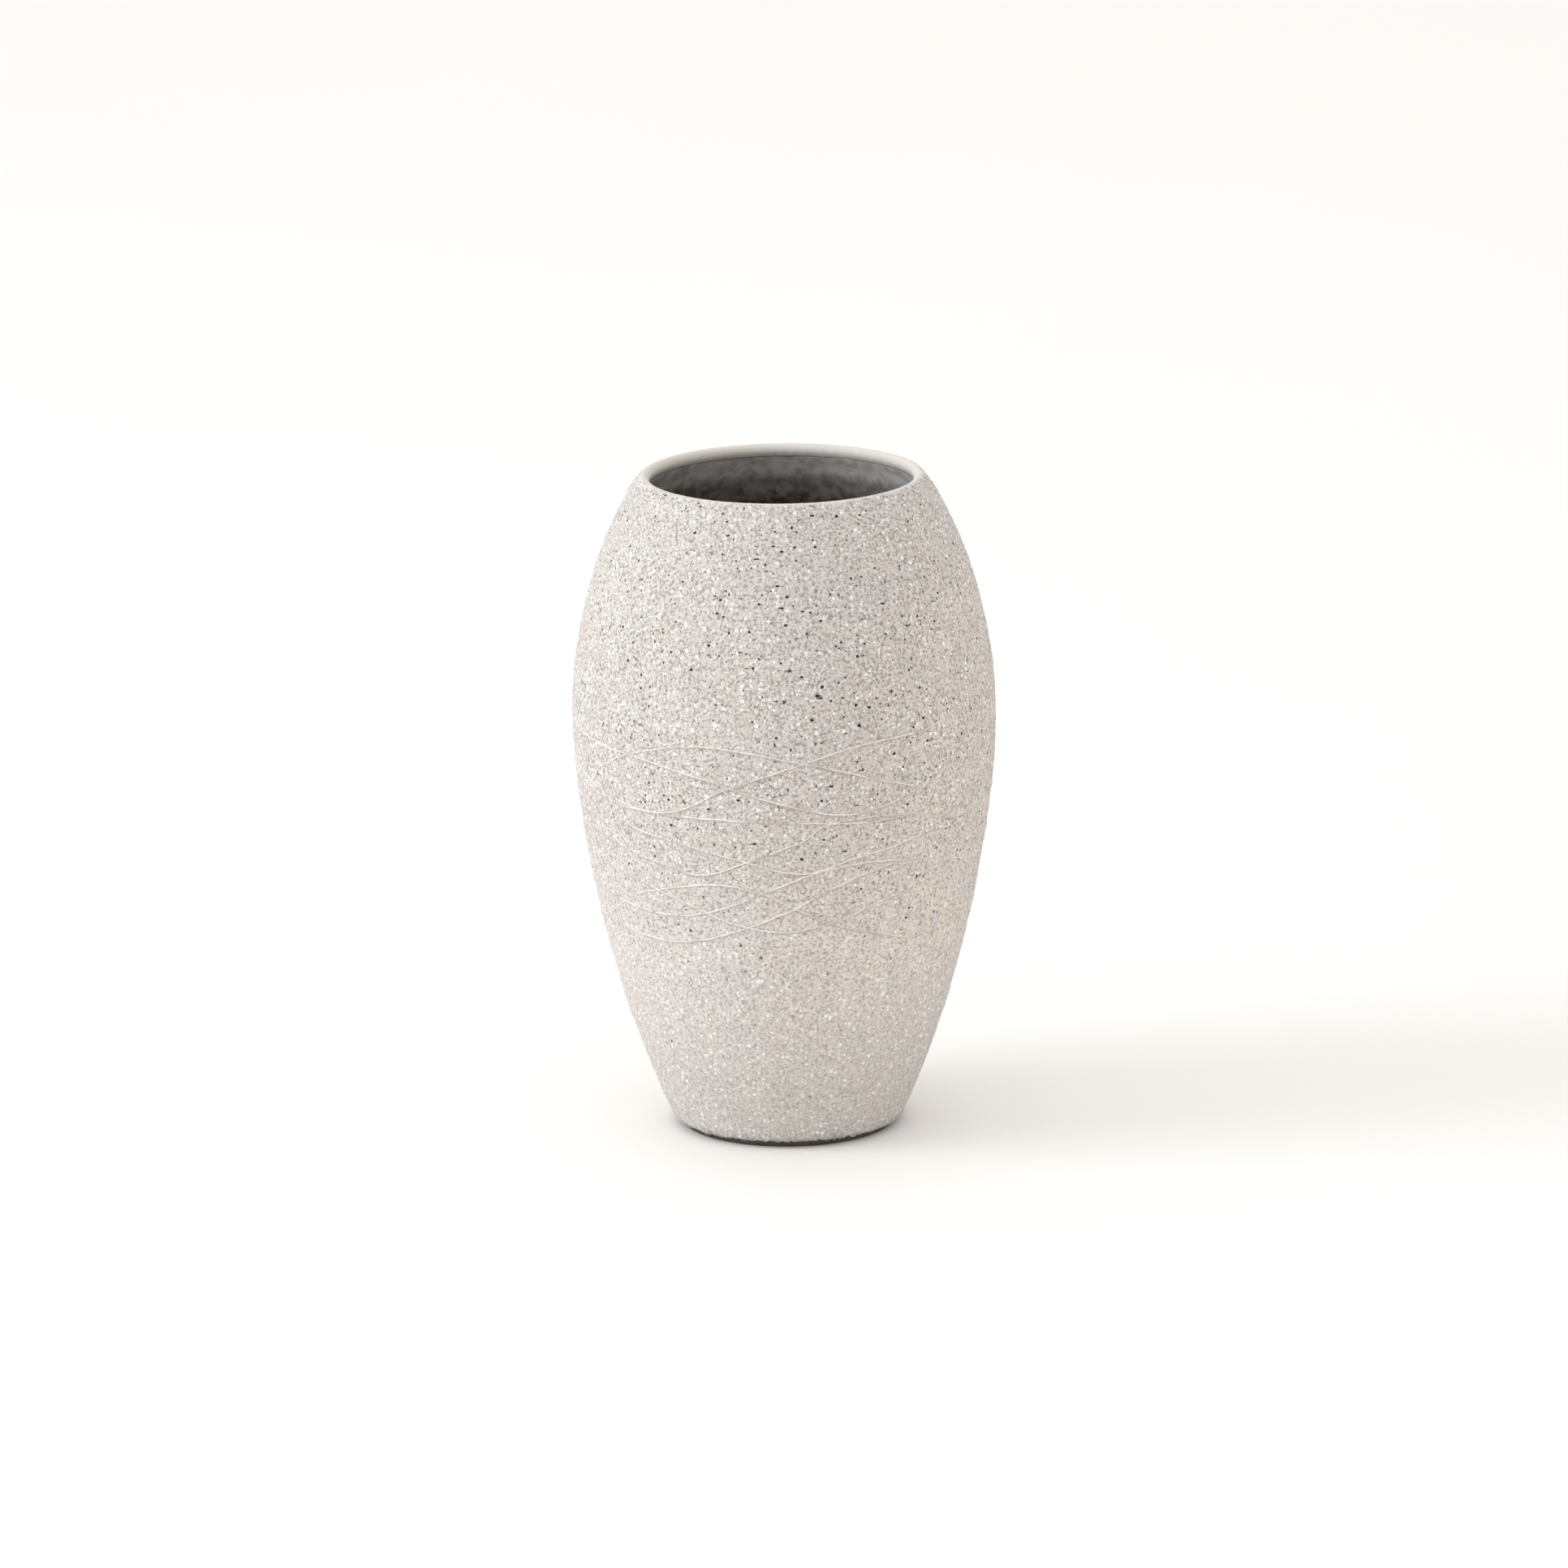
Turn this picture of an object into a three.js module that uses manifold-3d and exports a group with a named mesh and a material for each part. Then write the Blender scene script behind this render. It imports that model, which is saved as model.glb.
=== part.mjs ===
// Ceramic bud vase: a wheel-thrown dark stoneware pot with a gritty pale coat outside, a dark
// liner glaze inside, and thin lines of slip trailed in shallow waves round its belly.
// Millimetres, +Z up. The origin is the centre of the foot, on the surface the vase stands on.
import * as THREE from "three";
import { mergeVertices } from "three/addons/utils/BufferGeometryUtils.js";
import Module from "manifold-3d";

// Outer shape, measured over the coat
const height = 140;
const footRadius = 23.9;
const footFlare = THREE.MathUtils.degToRad(25.5); // lean of the wall at the foot, out from the vertical
const footPull = 32.8; // how far that lean carries up the wall
const bellyRadius = 44.5;
const bellyHeight = 90;
const bellyPullDown = 21; // length of the upright stretch below the widest line
const bellyPullUp = 15; // and above it
const mouthRadius = 27.7; // the clear opening
const lipThickness = 2.6;
const lipLean = THREE.MathUtils.degToRad(36); // lean of the wall at the lip, in from the vertical
const lipPull = 15.5;

// Clay body
const wallAtBelly = 4; // wall, coat and all, at the widest line
const wallAtFoot = 5.6;
const floorThickness = 4.8;
const floorCorner = 5; // reach of the rounded corner between floor and wall
const footInset = 0.8; // the bare foot stands this far in from the wall above it
const footRingWidth = 5.4;
const footRecess = 1.9; // the hollow turned under the foot

// Layers on the clay
const coatThickness = 0.55;
const coatStart = 1; // bare clay shows below this height
const coatInsideReach = 0.6; // the coat wraps over the lip and ends this far down inside
const glazeThickness = 0.4;
const glazeClearance = 0.3; // between the liner glaze and the end of the coat
const layerClearance = 0.05; // between the clay and what lies on it

// Trailed lines
const lineWidth = 0.44;
const lineClearance = 0.06; // between the coat and the lines
const lineSides = 4;
const lineSteps = 50; // steps round the pot

const turnSegments = 40;
const curveSteps = 6; // steps in each half of the outer curve
const capSteps = 3;
const cornerSteps = 3;

// Each trailed line goes once round the pot and joins up with itself. Its knots are
// [angle in degrees from the front, turning to the right, height in mm].
const trailedLines = [
  [[-160, 85], [-115, 79], [-72, 78], [-60, 83], [-45, 88], [-22, 91.5], [5, 88.5], [30, 83],
    [47, 79], [62, 76], [100, 83], [140, 88]],
  [[-165, 75], [-125, 82], [-90, 88], [-47, 87.5], [-25, 85], [-15, 83], [3, 79], [16, 77],
    [27, 78], [40, 80], [80, 82], [115, 79], [150, 74]],
  [[-150, 87], [-110, 85], [-75, 80], [-38, 76], [-15, 83], [5, 88.5], [24, 92], [50, 92],
    [85, 85], [110, 79], [145, 80]],
  [[-140, 78], [-100, 81], [-72, 78], [-55, 76], [-38, 76], [-7, 76], [25, 75], [43, 76],
    [65, 79], [95, 75], [135, 76], [175, 81]],
  [[-160, 70], [-110, 74], [-65, 73], [-31, 70], [-11, 67], [4, 64.5], [20, 66], [40, 65],
    [75, 61], [120, 66]],
  [[-155, 61], [-115, 66], [-70, 68], [-37, 65], [-24, 63.5], [-11, 67], [4, 71.5], [14, 75.5],
    [40, 75], [80, 68], [115, 69], [155, 66]],
  [[-150, 57], [-110, 59], [-70, 55], [-40, 53.5], [-22, 55.5], [-4, 61], [10, 65], [25, 68],
    [65, 72], [105, 66], [140, 60], [175, 56]],
  [[-165, 52], [-125, 46], [-98, 45], [-70, 49], [-48, 57], [-22, 61.5], [-7, 60], [3, 56.5],
    [15, 52.5], [30, 49.5], [45, 47.5], [85, 49], [125, 53]],
  [[-140, 50], [-95, 55], [-60, 61], [-36, 58], [-15, 53], [0, 51.5], [15, 53.5], [34, 58],
    [70, 61], [105, 56], [150, 54]],
  [[-165, 60], [-120, 54], [-80, 49], [-48, 47.5], [-31, 48], [-13, 52], [2, 56.5], [12, 60.5],
    [26, 64], [50, 67], [85, 65], [130, 58]],
];

const darkClay = new THREE.MeshStandardMaterial({ color: 0x4a4642, roughness: 0.85, metalness: 0 });
const grittyCoat = new THREE.MeshStandardMaterial({ color: 0xd2cbc4, roughness: 0.9, metalness: 0 });
const linerGlaze = new THREE.MeshStandardMaterial({ color: 0x4c4643, roughness: 0.35, metalness: 0 });
const paleSlip = new THREE.MeshStandardMaterial({ color: 0xe8e2da, roughness: 0.8, metalness: 0 });

const v2 = (x, y) => new THREE.Vector2(x, y);

// Points moved to the left of their direction of travel by the distance given for each
function offset(points, distanceAt) {
  return points.map((point, i) => {
    const before = points[Math.max(i - 1, 0)];
    const after = points[Math.min(i + 1, points.length - 1)];
    const along = after.clone().sub(before).normalize();
    return v2(point.x - along.y * distanceAt(i), point.y + along.x * distanceAt(i));
  });
}

// A half circle that closes a wall between its outer and inner ends
function roundCap(outerEnd, innerEnd) {
  const centre = outerEnd.clone().add(innerEnd).multiplyScalar(0.5);
  const arm = outerEnd.clone().sub(centre);
  const turn = (k) => arm.clone().rotateAround(v2(0, 0), (Math.PI * k) / (capSteps + 1)).add(centre);
  return Array.from({ length: capSteps }, (_, k) => turn(k + 1));
}

// The part of a line of points that climbs above a height, cut exactly there
function above(points, level) {
  const first = points.findIndex((point) => point.y > level);
  if (first <= 0) return points.slice(Math.max(first, 0));
  const share = (level - points[first - 1].y) / (points[first].y - points[first - 1].y);
  return [points[first - 1].clone().lerp(points[first], share), ...points.slice(first)];
}

function below(points, level) {
  return above([...points].reverse().map((p) => v2(p.x, -p.y)), -level)
    .map((p) => v2(p.x, -p.y))
    .reverse();
}

// The outer curve, from the lower edge of the coat up to the lip
function outerCurve() {
  const capRadius = lipThickness / 2;
  const foot = v2(footRadius, coatStart);
  const belly = v2(bellyRadius, bellyHeight);
  const lip = v2(
    mouthRadius + capRadius * (1 + Math.cos(lipLean)),
    height - capRadius * (1 - Math.sin(lipLean)),
  );
  const footHandle = v2(Math.sin(footFlare), Math.cos(footFlare)).multiplyScalar(footPull).add(foot);
  const lipHandle = v2(Math.sin(lipLean), -Math.cos(lipLean)).multiplyScalar(lipPull).add(lip);
  const lower = new THREE.CubicBezierCurve(
    foot, footHandle, v2(bellyRadius, bellyHeight - bellyPullDown), belly);
  const upper = new THREE.CubicBezierCurve(
    belly, v2(bellyRadius, bellyHeight + bellyPullUp), lipHandle, lip);
  return [...lower.getPoints(curveSteps), ...upper.getPoints(curveSteps).slice(1)];
}

const outer = outerCurve();
const lastPoint = outer.length - 1;
const clayDepth = coatThickness + layerClearance;

// Depth of the cavity wall under the outer curve: thick at the foot, thin at the lip
function cavityDepth(i) {
  const lipDepth = lipThickness - clayDepth;
  if (i <= curveSteps) return THREE.MathUtils.lerp(wallAtFoot, wallAtBelly, i / curveSteps);
  const share = (i - curveSteps) / (lastPoint - curveSteps);
  return THREE.MathUtils.lerp(wallAtBelly, lipDepth, share);
}

const clayOutside = offset(outer, () => clayDepth);
const wallInside = offset(outer, cavityDepth);

// The cavity from the middle of the floor, round its corner and up to the lip
function cavityCurve() {
  const floorLevel = footRecess + floorThickness;
  const wall = above(wallInside, floorLevel + floorCorner);
  const slope = (wall[1].x - wall[0].x) / (wall[1].y - wall[0].y);
  const corner = v2(wall[0].x - slope * floorCorner, floorLevel);
  const floorEdge = v2(corner.x - floorCorner, floorLevel);
  const bend = new THREE.QuadraticBezierCurve(floorEdge, corner, wall[0]);
  return [v2(0, floorLevel), ...bend.getPoints(cornerSteps), ...wall.slice(1)];
}

const cavity = cavityCurve();

function clayProfile() {
  const wallFoot = clayOutside[0];
  const ringOutside = wallFoot.x - footInset;
  const ringInside = ringOutside - footRingWidth;
  const foot = [
    v2(0, footRecess),
    v2(ringInside - footRecess, footRecess),
    v2(ringInside, 0),
    v2(ringOutside, 0),
    v2(ringOutside, wallFoot.y - footInset / 2),
  ];
  const cap = roundCap(clayOutside[lastPoint], cavity[cavity.length - 1]);
  return [...foot, ...clayOutside, ...cap, ...[...cavity].reverse()];
}

// The coat: up the outside, over the lip, a short way down inside, and back against the clay
function coatProfile() {
  const insideEnd = cavity[cavity.length - 1].y - coatInsideReach;
  const clayInside = above(cavity, insideEnd);
  const innerFace = offset(clayInside, () => layerClearance);
  const visibleInside = offset(clayInside, () => clayDepth);
  const outerTop = outer[lastPoint];
  const clayTop = offset(outer, () => coatThickness);
  const visibleCap = roundCap(outerTop, visibleInside[visibleInside.length - 1]);
  const hiddenCap = roundCap(clayTop[lastPoint], innerFace[innerFace.length - 1]);
  return [
    ...outer,
    ...visibleCap,
    ...visibleInside.reverse(),
    ...innerFace,
    ...hiddenCap.reverse(),
    ...clayTop.reverse(),
    outer[0],
  ];
}

function glazeProfile() {
  const topEdge = cavity[cavity.length - 1].y - coatInsideReach - glazeClearance;
  const lining = below(cavity, topEdge);
  const claySide = offset(lining, () => layerClearance);
  const visibleSide = offset(lining, () => layerClearance + glazeThickness);
  claySide[0].x = 0;
  visibleSide[0].x = 0;
  return [...claySide, ...visibleSide.reverse()];
}

function turned(profile) {
  return new THREE.LatheGeometry(profile, turnSegments).rotateX(Math.PI / 2);
}

// Radius of the coat at a height, on the same straight steps as the coat itself
function coatRadiusAt(level) {
  const i = outer.findIndex((point) => point.y >= level);
  const share = (level - outer[i - 1].y) / (outer[i].y - outer[i - 1].y);
  return THREE.MathUtils.lerp(outer[i - 1].x, outer[i].x, share);
}

// A closed line on the coat through its knots
class TrailedLine extends THREE.Curve {
  constructor(knots) {
    super();
    const wrap = ([angle, level], turns) => v2(angle + 360 * turns, level);
    this.spans = knots.length;
    this.route = new THREE.SplineCurve([
      wrap(knots[knots.length - 1], -1),
      ...knots.map((knot) => wrap(knot, 0)),
      wrap(knots[0], 1),
      wrap(knots[1], 1),
    ]);
  }

  getPoint(t, target = new THREE.Vector3()) {
    const along = this.route.getPoint((1 + t * this.spans) / (this.spans + 2));
    const angle = THREE.MathUtils.degToRad(along.x);
    const clear = (coatRadiusAt(along.y) + lineClearance) / Math.cos(Math.PI / lineSteps);
    const reach = clear + lineWidth / 2;
    return target.set(reach * Math.sin(angle), -reach * Math.cos(angle), along.y);
  }
}

const wasm = await Module();
wasm.setup();

function solidFrom(geometry) {
  geometry.deleteAttribute("normal");
  geometry.deleteAttribute("uv");
  const merged = mergeVertices(geometry, 1e-4);
  return new wasm.Manifold(
    new wasm.Mesh({
      numProp: 3,
      vertProperties: merged.attributes.position.array,
      triVerts: new Uint32Array(merged.index.array),
    }),
  );
}

function geometryFrom(solid) {
  const mesh = solid.getMesh();
  const geometry = new THREE.BufferGeometry();
  geometry.setAttribute("position", new THREE.BufferAttribute(mesh.vertProperties, mesh.numProp));
  geometry.setIndex(new THREE.BufferAttribute(mesh.triVerts, 1));
  geometry.computeVertexNormals();
  return geometry;
}

// All the lines, fused where they cross
function trailedNetwork() {
  const beads = trailedLines.map((knots) =>
    solidFrom(
      new THREE.TubeGeometry(new TrailedLine(knots), lineSteps, lineWidth / 2, lineSides, true),
    ),
  );
  return geometryFrom(beads.reduce((all, bead) => all.add(bead)));
}

function piece(name, geometry, material) {
  const mesh = new THREE.Mesh(geometry, material);
  mesh.name = name;
  return mesh;
}

const vase = new THREE.Group();
vase.add(piece("clay_body", turned(clayProfile()), darkClay));
vase.add(piece("outer_coat", turned(coatProfile()), grittyCoat));
vase.add(piece("inner_glaze", turned(glazeProfile()), linerGlaze));
vase.add(piece("trailed_lines", trailedNetwork(), paleSlip));

export default vase;
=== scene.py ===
import math
import bpy
import numpy as np
from mathutils import Matrix, Vector


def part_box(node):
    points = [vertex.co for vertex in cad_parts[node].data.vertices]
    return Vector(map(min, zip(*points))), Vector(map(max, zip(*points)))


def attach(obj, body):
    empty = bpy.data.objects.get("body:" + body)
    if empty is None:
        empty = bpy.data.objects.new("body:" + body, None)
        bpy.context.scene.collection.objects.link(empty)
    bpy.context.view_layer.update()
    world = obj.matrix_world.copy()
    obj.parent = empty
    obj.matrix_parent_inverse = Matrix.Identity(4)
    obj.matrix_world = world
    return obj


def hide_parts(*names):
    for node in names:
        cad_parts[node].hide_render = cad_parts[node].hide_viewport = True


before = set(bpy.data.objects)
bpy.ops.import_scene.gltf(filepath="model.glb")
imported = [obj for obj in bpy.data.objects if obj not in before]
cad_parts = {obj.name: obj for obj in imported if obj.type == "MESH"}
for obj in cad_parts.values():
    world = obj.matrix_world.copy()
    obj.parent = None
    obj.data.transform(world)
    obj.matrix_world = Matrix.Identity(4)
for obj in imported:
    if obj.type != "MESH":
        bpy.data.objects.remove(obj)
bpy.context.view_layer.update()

# A small thrown vase: dark stoneware, a sanded pale slip outside, a mottled glaze inside, and trailed
# white lines. Sizes are in mm here, and become metres when a mesh is made.
mm = 0.001
scene = bpy.context.scene


def linear(hexText):
    # an sRGB colour such as "#F1EFEC" as the linear one that a socket takes
    parts = [int(hexText[i:i + 2], 16) / 255 for i in (1, 3, 5)]
    curve = [c / 12.92 if c <= 0.04045 else ((c + 0.055) / 1.055) ** 2.4 for c in parts]
    return tuple(curve) + (1.0,)


def perMetre(sizeInMm):
    return 1000.0 / sizeInMm  # a texture scale that gives features of this real size


def addNode(tree, kind, values=None, links=None, **settings):
    node = tree.nodes.new(kind)
    for key, value in settings.items():
        setattr(node, key, value)
    for key, value in (values or {}).items():
        node.inputs[key].default_value = value
    for key, source in (links or {}).items():
        tree.links.new(source, node.inputs[key])
    return node


def startMaterial(name):
    material = bpy.data.materials.new(name)
    material.use_nodes = True
    tree = material.node_tree
    tree.nodes.clear()
    surface = tree.nodes.new("ShaderNodeBsdfPrincipled")
    output = tree.nodes.new("ShaderNodeOutputMaterial")
    tree.links.new(surface.outputs["BSDF"], output.inputs["Surface"])
    return material, tree, surface


def smoothStep(low, high, value):
    t = np.clip((value - low) / (high - low), 0, 1)
    return t * t * (3 - 2 * t)


# A surface from rows of points that each go once round the pot. A row on the axis becomes one point.
def turnedMesh(name, rows, material, ring=False, values=None):
    rowCount, turns = rows.shape[:2]
    onAxis = np.hypot(rows[:, :, 0], rows[:, :, 1]).max(axis=1) < 1e-6
    sizes = np.where(onAxis, 1, turns)
    first = np.concatenate([[0], np.cumsum(sizes)[:-1]])
    points = np.concatenate([rows[i, :1] if onAxis[i] else rows[i] for i in range(rowCount)])
    here = np.arange(turns)
    there = (here + 1) % turns
    faces = []
    places = []
    pairs = [(i, i + 1) for i in range(rowCount - 1)] + ([(rowCount - 1, 0)] if ring else [])
    for low, high in pairs:
        a = first[low] + (here * 0 if onAxis[low] else here)
        b = first[low] + (here * 0 if onAxis[low] else there)
        c = first[high] + (here * 0 if onAxis[high] else there)
        d = first[high] + (here * 0 if onAxis[high] else here)
        u0, u1 = here / turns, (here + 1) / turns
        v0, v1 = low / rowCount, (low + 1) / rowCount
        corners = [(a, u0, v0), (b, u1, v0), (c, u1, v1), (d, u0, v1)]
        if onAxis[low]:
            corners.pop(1)
        elif onAxis[high]:
            corners.pop(2)
        faces.append(np.stack([k[0] for k in corners], axis=1))
        places.append(np.stack([np.stack([k[1], np.full(turns, k[2])], 1) for k in corners], 1))
    corner = np.concatenate([f.ravel() for f in faces])
    starts = np.concatenate([np.full(len(f), f.shape[1]) for f in faces])
    starts = np.concatenate([[0], np.cumsum(starts)[:-1]])
    mesh = bpy.data.meshes.new(name)
    mesh.vertices.add(len(points))
    mesh.vertices.foreach_set("co", (points * mm).astype(np.float32).ravel())
    mesh.loops.add(len(corner))
    mesh.loops.foreach_set("vertex_index", corner.astype(np.int32))
    mesh.polygons.add(len(starts))
    mesh.polygons.foreach_set("loop_start", starts.astype(np.int32))
    mesh.polygons.foreach_set("use_smooth", np.ones(len(starts), bool))
    layer = mesh.uv_layers.new(name="OFBake")
    layer.data.foreach_set("uv", np.concatenate([p.reshape(-1) for p in places]).astype(np.float32))
    for key, grid in (values or {}).items():
        flat = np.concatenate([grid[i, :1] if onAxis[i] else grid[i] for i in range(rowCount)])
        attribute = mesh.attributes.new(key, "FLOAT", "POINT")
        attribute.data.foreach_set("value", flat.astype(np.float32))
    mesh.update(calc_edges=True)
    mesh.validate()
    mesh.materials.append(material)
    piece = bpy.data.objects.new(name, mesh)
    scene.collection.objects.link(piece)
    return piece


# mm and degrees, the same as the CAD source; the overall sizes are read from the frame
shape = {
    "footRadius": 23.9,
    "footFlare": 25.5,
    "footPull": 32.8,
    "bellyHeight": 90.0,
    "bellyPullDown": 21.0,
    "bellyPullUp": 15.0,
    "mouthRadius": 27.7,
    "lipThickness": 2.6,
    "lipLean": 36.0,
    "lipPull": 15.5,
    "wallAtBelly": 4.0,
    "wallAtFoot": 5.6,
    "coatThickness": 0.55,
    "layerGap": 0.05,
    "glazeThickness": 0.4,
}
coatLow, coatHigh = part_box("outer_coat")
glazeLow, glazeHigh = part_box("inner_glaze")
bellyRadius = coatHigh.x / mm
potHeight = coatHigh.z / mm
coatStart = coatLow.z / mm
clayDepth = shape["coatThickness"] + shape["layerGap"]


def bezier(a, b, c, d, steps):
    t = np.linspace(0, 1, steps)[:, None]
    a, b, c, d = (np.array(p) for p in (a, b, c, d))
    return (1 - t) ** 3 * a + 3 * (1 - t) ** 2 * t * b + 3 * (1 - t) * t * t * c + t ** 3 * d


def makeOutline(steps=600):
    flare = math.radians(shape["footFlare"])
    lean = math.radians(shape["lipLean"])
    half = shape["lipThickness"] / 2
    foot = np.array([shape["footRadius"], coatStart])
    belly = np.array([bellyRadius, shape["bellyHeight"]])
    lipReach = shape["mouthRadius"] + half * (1 + math.cos(lean))
    lip = np.array([lipReach, potHeight - half * (1 - math.sin(lean))])
    footHandle = foot + shape["footPull"] * np.array([math.sin(flare), math.cos(flare)])
    lipHandle = lip + shape["lipPull"] * np.array([math.sin(lean), -math.cos(lean)])
    lower = bezier(foot, footHandle, belly - [0, shape["bellyPullDown"]], belly, steps)
    upper = bezier(belly, belly + [0, shape["bellyPullUp"]], lipHandle, lip, steps)
    line = np.concatenate([lower, upper[1:]])
    along = np.gradient(line, axis=0)
    along /= np.linalg.norm(along, axis=1)[:, None]
    out = np.stack([along[:, 1], -along[:, 0]], 1)
    share = np.concatenate([np.linspace(0, 1, steps), np.linspace(0, 1, steps)[1:]])
    thin = shape["lipThickness"] - clayDepth
    wall = shape["wallAtFoot"] + (shape["wallAtBelly"] - shape["wallAtFoot"]) * share
    wall[steps:] = shape["wallAtBelly"] + (thin - shape["wallAtBelly"]) * share[steps:]
    return line, along, out, wall


outline, outlineAlong, outlineOut, wallDepth = makeOutline()


def resample(line, step):
    length = np.concatenate([[0], np.cumsum(np.linalg.norm(np.diff(line, axis=0), axis=1))])
    count = max(int(round(length[-1] / step)) + 1, 2)
    at = np.linspace(0, length[-1], count)
    return np.stack([np.interp(at, length, line[:, 0]), np.interp(at, length, line[:, 1])], 1), at


def outwardOf(line):
    along = np.gradient(line, axis=0)
    along /= np.linalg.norm(along, axis=1)[:, None]
    return np.stack([along[:, 1], -along[:, 0]], 1)


def turnRows(line, out, rise, turns):
    # rise: how far each point of the grid stands off the line, mm
    angle = np.arange(turns) * 2 * math.pi / turns
    reach = line[:, :1] + out[:, :1] * rise
    level = line[:, 1:] + out[:, 1:] * rise
    return np.stack([reach * np.sin(angle), -reach * np.cos(angle), level + 0 * angle], 2)


coat = {
    "turnSteps": 1000,
    "rowStep": 0.3,        # mm between rows of the mesh
    "largeGrains": 5200,
    "largeSize": (0.24, 0.50),    # half width, mm
    "largeRise": (0.07, 0.19),
    "largeStretch": 1.7,   # how many times longer than wide the longest ones are
    "smallGrains": 42000,
    "smallSize": (0.16, 0.27),
    "smallRise": (0.03, 0.11),
    "smallStretch": 1.5,
    "pits": 380,
    "pitSize": (0.18, 0.34),
    "pitDepth": (0.15, 0.34),
    "pitStretch": 3.2,
    "lumps": 0.03,         # soft unevenness of the coat
    "throwing": 0.04,      # rings left by the thrower's fingers
    "lipReach": 1.1,       # the grit thins out this far over the rounding of the lip
    "insideReach": 0.6,    # the coat ends this far down inside
    "footShade": 0.19,       # strength of the painted shade that darkens the coat towards the foot
    "edgeShade": 0.52,       # strength of the painted shade just above the coat's lower edge, by the floor
    # colours
    "pinkGround": "#C9C1BE",
    "greyGround": "#C9C3BD",
    "lowGround": "#D1CAC6",
    "lipGround": "#D3CDC7",
    "stain": "#D9D0C5",
    "shade": "#7F7670",
    "sand": "#F9F6F3",
    "footShadeTone": "#8F8D88",
    "edgeShadeTone": "#5C554F",
    "lineShadeTone": "#9A8F89",
    "iron": "#221E1C",
    # surface patterns: cell in mm, share of cells filled, least and most radius in cells, softness of rim;
    # the finest real sand is under 0.3 mm and is drawn in cells of 0.5 mm, so that it shows
    "rust": (1.15, 0.40, (0.10, 0.27), 0.12),
    "smallSand": (0.50, 0.55, (0.18, 0.50), 0.12),
    "largeSand": (0.95, 0.50, (0.16, 0.50), 0.08),
    "softSand": (1.0, 0.80, (0.18, 0.54), 0.16),
    "straw": (1.6, 0.12, (0.05, 0.13), 0.05),
    "roundIron": (1.4, 0.42, (0.07, 0.22), 0.05),
    "longIron": (1.7, 0.40, (0.07, 0.20), 0.05),
    "largeIron": (2.0, 0.72, (0.07, 0.18), 0.03),
    "driftIron": (2.1, 0.62, (0.08, 0.21), 0.04),
}

lines = {
    "steps": 1500,
    "sides": 6,
    "halfWidth": 0.18,   # mm
    "relief": 0.23,      # how far the top of a line stands above its middle, mm
    "rubDepth": 0.27,    # how much lower it lies where it's rubbed down
    "wander": 0.05,      # the hand's shake along a line
    "shaded": "#CDC5BF",
    "lit": "#F8F5F1",
    "worn": "#BFB6B0",
}

trailedRoutes = [
    [(-160, 85), (-115, 79), (-72, 78), (-60, 83), (-45, 88), (-22, 91.5), (5, 88.5), (30, 83),
     (47, 79), (62, 76), (100, 83), (140, 88)],
    [(-165, 75), (-125, 82), (-90, 88), (-47, 87.5), (-25, 85), (-15, 83), (3, 79), (16, 77),
     (27, 78), (40, 80), (80, 82), (115, 79), (150, 74)],
    [(-150, 87), (-110, 85), (-75, 80), (-38, 76), (-15, 83), (5, 88.5), (24, 92), (50, 92),
     (85, 85), (110, 79), (145, 80)],
    [(-140, 78), (-100, 81), (-72, 78), (-55, 76), (-38, 76), (-7, 76), (25, 75), (43, 76),
     (65, 79), (95, 75), (135, 76), (175, 81)],
    [(-160, 70), (-110, 74), (-65, 73), (-31, 70), (-11, 67), (4, 64.5), (20, 66), (40, 65),
     (75, 61), (120, 66)],
    [(-155, 61), (-115, 66), (-70, 68), (-37, 65), (-24, 63.5), (-11, 67), (4, 71.5), (14, 75.5),
     (40, 75), (80, 68), (115, 69), (155, 66)],
    [(-150, 57), (-110, 59), (-70, 55), (-40, 53.5), (-22, 55.5), (-4, 61), (10, 65), (25, 68),
     (65, 72), (105, 66), (140, 60), (175, 56)],
    [(-165, 52), (-125, 46), (-98, 45), (-70, 49), (-48, 57), (-22, 61.5), (-7, 60), (3, 56.5),
     (15, 52.5), (30, 49.5), (45, 47.5), (85, 49), (125, 53)],
    [(-140, 50), (-95, 55), (-60, 61), (-36, 58), (-15, 53), (0, 51.5), (15, 53.5), (34, 58),
     (70, 61), (105, 56), (150, 54)],
    [(-165, 60), (-120, 54), (-80, 49), (-48, 47.5), (-31, 48), (-13, 52), (2, 56.5), (12, 60.5),
     (26, 64), (50, 67), (85, 65), (130, 58)],
]  # each line's knots: degrees from the front, turning right, and height in mm


def smoothRoute(knots, steps):
    ends = [(knots[-1][0] - 360, knots[-1][1])] + list(knots) + [(knots[0][0] + 360, knots[0][1])]
    ends.append((knots[1][0] + 360, knots[1][1]))
    p = np.array(ends, float)
    t = np.linspace(0, len(knots), steps, endpoint=False)
    i = t.astype(int)
    f = (t - i)[:, None]
    a, b, c, d = p[i], p[i + 1], p[i + 2], p[i + 3]
    bend = (2 * a - 5 * b + 4 * c - d) * f ** 2 + (3 * b - a - 3 * c + d) * f ** 3
    return 0.5 * (2 * b + (c - a) * f + bend)


# How far the lines are rubbed down to the coat: wholly at the right of the front, partly at its left edge
def rubbedShare(angle):
    front = smoothStep(-0.75, -0.15, np.cos(angle))
    right = smoothStep(0.48, 0.78, np.sin(angle))
    left = smoothStep(0.60, 0.92, -np.sin(angle))
    return (right + 0.7 * left) * front


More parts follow.
